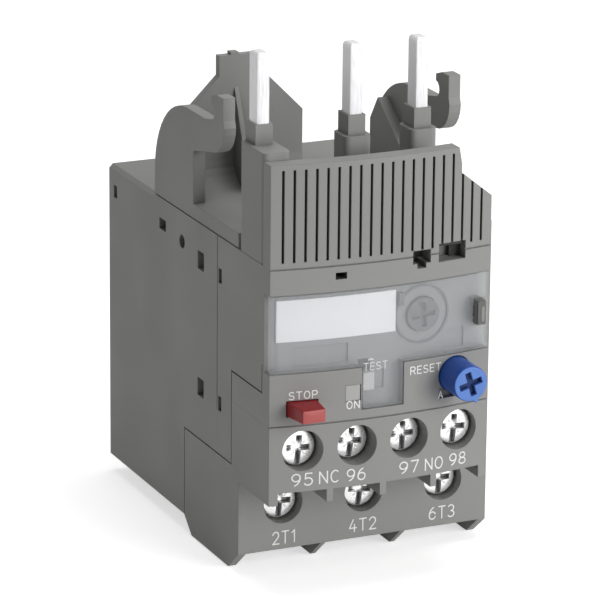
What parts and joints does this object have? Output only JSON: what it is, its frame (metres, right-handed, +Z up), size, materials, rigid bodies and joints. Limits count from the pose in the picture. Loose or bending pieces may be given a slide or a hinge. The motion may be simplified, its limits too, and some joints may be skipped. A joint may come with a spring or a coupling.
{
  "type": "thermal overload relay",
  "caption": "Thermal overload relay that plugs onto a contactor: grey moulded housing with contact pins and hooks on top, clear front cover, STOP and RESET controls, screw terminals below.",
  "frame": {"origin": "middle of the bounding box, at the level of the bottom of the terminal barrier walls", "axes": "+Z up along the contact pins, the front with the controls looks along -Y, +X is to the right seen from the front"},
  "size_m": [0.045, 0.0754, 0.0882],
  "materials": {
    "housing_grey": "moulded, fine grain",
    "clear_tint": "clear smoky polycarbonate",
    "label_white": "printed label stock, blank",
    "stop_red": "moulded red",
    "reset_blue": "moulded blue",
    "inner_plastic": "natural moulded",
    "spring_steel": "bright drawn wire",
    "tinned_copper": "bright tin",
    "zinc_steel": "zinc plate",
    "bright_screw": "bright nickel plate",
    "bimetal_strip": "rolled strip",
    "heater_wire": "resistance wire",
    "brass_contact": "stamped brass"
  },
  "bodies": {
    "base": {"rear_housing": "housing_grey", "terminal_block": "housing_grey", "front_housing": "housing_grey", "aux_block": "housing_grey", "grille_hood": "housing_grey", "coupling_frame": "housing_grey", "pin_sleeve_left": "housing_grey", "pin_sleeve_middle": "housing_grey", "pin_sleeve_right": "housing_grey", "contact_pin_left": "tinned_copper", "contact_pin_middle": "tinned_copper", "contact_pin_right": "tinned_copper", "label_plate": "label_white", "lever_post": "housing_grey", "stop_spring": "spring_steel", "reset_spring": "spring_steel", "main_bar_2t1": "tinned_copper", "pole_lead_2t1": "tinned_copper", "heater_2t1": "heater_wire", "bimetal_2t1": "bimetal_strip", "main_bar_4t2": "tinned_copper", "pole_lead_4t2": "tinned_copper", "heater_4t2": "heater_wire", "bimetal_4t2": "bimetal_strip", "main_bar_6t3": "tinned_copper", "pole_lead_6t3": "tinned_copper", "heater_6t3": "heater_wire", "bimetal_6t3": "bimetal_strip", "aux_bar_95": "brass_contact", "aux_bar_96": "brass_contact", "aux_bar_97": "brass_contact", "aux_bar_98": "brass_contact"},
    "cover": {"clear_cover": "clear_tint"},
    "dial": {"setting_dial": "housing_grey"},
    "stop": {"stop_button": "stop_red"},
    "reset_slide": {"reset_plunger": "inner_plastic"},
    "reset_turn": {"reset_knob": "reset_blue"},
    "flag": {"trip_flag": "label_white"},
    "test": {"test_slider": "housing_grey"},
    "slide_lower": {"trip_slide_lower": "inner_plastic"},
    "slide_upper": {"trip_slide_upper": "inner_plastic"},
    "lever": {"trip_lever": "inner_plastic", "compensation_strip": "bimetal_strip"},
    "carrier": {"contact_carrier": "inner_plastic", "nc_bridge": "brass_contact", "no_bridge": "brass_contact"},
    "main_screw_2t1": {"main_screw_2t1": "bright_screw"},
    "main_cage_2t1": {"main_cage_2t1": "zinc_steel"},
    "main_screw_4t2": {"main_screw_4t2": "bright_screw"},
    "main_cage_4t2": {"main_cage_4t2": "zinc_steel"},
    "main_screw_6t3": {"main_screw_6t3": "bright_screw"},
    "main_cage_6t3": {"main_cage_6t3": "zinc_steel"},
    "aux_screw_95": {"aux_screw_95": "bright_screw"},
    "aux_cage_95": {"aux_cage_95": "zinc_steel"},
    "aux_screw_96": {"aux_screw_96": "bright_screw"},
    "aux_cage_96": {"aux_cage_96": "zinc_steel"},
    "aux_screw_97": {"aux_screw_97": "bright_screw"},
    "aux_cage_97": {"aux_cage_97": "zinc_steel"},
    "aux_screw_98": {"aux_screw_98": "bright_screw"},
    "aux_cage_98": {"aux_cage_98": "zinc_steel"}
  },
  "joints": [
    {"name": "cover_hinge", "type": "hinge", "parent": "base", "child": "cover", "pos_m": [-0.0215, -0.02985, 0.04435], "axis": [0, 0, -1], "range_deg": [0, 100]},
    {"name": "dial_turn", "type": "hinge", "parent": "base", "child": "dial", "pos_m": [0.0044, -0.02635, 0.0448], "axis": [0, 1, 0], "range_deg": [-135, 135]},
    {"name": "stop_push", "type": "slide", "parent": "base", "child": "stop", "axis": [0, 1, 0], "range_m": [0, 0.0025], "stiffness_N_per_m": 300, "springref_m": -0.001, "deforming": ["stop_spring"]},
    {"name": "reset_push", "type": "slide", "parent": "base", "child": "reset_slide", "axis": [0, 1, 0], "range_m": [0, 0.002], "stiffness_N_per_m": 300, "springref_m": -0.001, "deforming": ["reset_spring"]},
    {"name": "reset_turn", "type": "hinge", "parent": "reset_slide", "child": "reset_turn", "pos_m": [0.0098, -0.03235, 0.0344], "axis": [0, 1, 0], "range_deg": [-90, 0]},
    {"name": "test_slide", "type": "slide", "parent": "base", "child": "test", "axis": [0, 0, 1], "range_m": [0, 0.002]},
    {"name": "trip_slide", "type": "slide", "parent": "base", "child": "slide_lower", "axis": [1, 0, 0], "range_m": [0, 0.0012], "stiffness_N_per_m": 80, "springref_m": -0.0005},
    {"name": "trip_slide_follow", "type": "slide", "parent": "base", "child": "slide_upper", "axis": [1, 0, 0], "range_m": [0, 0.0012]},
    {"name": "lever_turn", "type": "hinge", "parent": "base", "child": "lever", "pos_m": [0.018, -0.00035, 0.0462], "axis": [0, 0, -1], "range_deg": [0, 6]},
    {"name": "carrier_slide", "type": "slide", "parent": "base", "child": "carrier", "axis": [0, 1, 0], "range_m": [0, 0.0012]},
    {"name": "flag_slide", "type": "slide", "parent": "base", "child": "flag", "axis": [0, 1, 0], "range_m": [0, 0.0012]},
    {"name": "main_cage_2t1_slide", "type": "slide", "parent": "base", "child": "main_cage_2t1", "axis": [0, -1, 0], "range_m": [0, 0.003]},
    {"name": "main_screw_2t1_turn", "type": "hinge", "parent": "base", "child": "main_screw_2t1", "pos_m": [-0.0145, -0.01435, 0.0112], "axis": [0, 1, 0], "range_deg": [0, 1543]},
    {"name": "main_cage_4t2_slide", "type": "slide", "parent": "base", "child": "main_cage_4t2", "axis": [0, -1, 0], "range_m": [0, 0.003]},
    {"name": "main_screw_4t2_turn", "type": "hinge", "parent": "base", "child": "main_screw_4t2", "pos_m": [0, -0.01435, 0.0112], "axis": [0, 1, 0], "range_deg": [0, 1543]},
    {"name": "main_cage_6t3_slide", "type": "slide", "parent": "base", "child": "main_cage_6t3", "axis": [0, -1, 0], "range_m": [0, 0.003]},
    {"name": "main_screw_6t3_turn", "type": "hinge", "parent": "base", "child": "main_screw_6t3", "pos_m": [0.0145, -0.01435, 0.0112], "axis": [0, 1, 0], "range_deg": [0, 1543]},
    {"name": "aux_cage_95_slide", "type": "slide", "parent": "base", "child": "aux_cage_95", "axis": [0, -1, 0], "range_m": [0, 0.0014]},
    {"name": "aux_screw_95_turn", "type": "hinge", "parent": "base", "child": "aux_screw_95", "pos_m": [-0.01695, -0.02835, 0.0248], "axis": [0, 1, 0], "range_deg": [0, 840.2]},
    {"name": "aux_cage_96_slide", "type": "slide", "parent": "base", "child": "aux_cage_96", "axis": [0, -1, 0], "range_m": [0, 0.0014]},
    {"name": "aux_screw_96_turn", "type": "hinge", "parent": "base", "child": "aux_screw_96", "pos_m": [-0.00775, -0.02835, 0.0248], "axis": [0, 1, 0], "range_deg": [0, 840.2]},
    {"name": "aux_cage_97_slide", "type": "slide", "parent": "base", "child": "aux_cage_97", "axis": [0, -1, 0], "range_m": [0, 0.0014]},
    {"name": "aux_screw_97_turn", "type": "hinge", "parent": "base", "child": "aux_screw_97", "pos_m": [0.00145, -0.02835, 0.0248], "axis": [0, 1, 0], "range_deg": [0, 840.2]},
    {"name": "aux_cage_98_slide", "type": "slide", "parent": "base", "child": "aux_cage_98", "axis": [0, -1, 0], "range_m": [0, 0.0014]},
    {"name": "aux_screw_98_turn", "type": "hinge", "parent": "base", "child": "aux_screw_98", "pos_m": [0.01065, -0.02835, 0.0248], "axis": [0, 1, 0], "range_deg": [0, 840.2]}
  ],
  "couplings": [
    {"joint": "trip_slide_follow", "follows": "trip_slide", "ratio": 1},
    {"joint": "lever_turn", "follows": "trip_slide", "rad_per_m": 87},
    {"joint": "carrier_slide", "follows": "trip_slide", "ratio": 1},
    {"joint": "flag_slide", "follows": "trip_slide", "ratio": 1},
    {"joint": "main_screw_2t1_turn", "follows": "main_cage_2t1_slide", "rad_per_m": 8976},
    {"joint": "main_screw_4t2_turn", "follows": "main_cage_4t2_slide", "rad_per_m": 8976},
    {"joint": "main_screw_6t3_turn", "follows": "main_cage_6t3_slide", "rad_per_m": 8976},
    {"joint": "aux_screw_95_turn", "follows": "aux_cage_95_slide", "rad_per_m": 10472},
    {"joint": "aux_screw_96_turn", "follows": "aux_cage_96_slide", "rad_per_m": 10472},
    {"joint": "aux_screw_97_turn", "follows": "aux_cage_97_slide", "rad_per_m": 10472},
    {"joint": "aux_screw_98_turn", "follows": "aux_cage_98_slide", "rad_per_m": 10472}
  ]
}
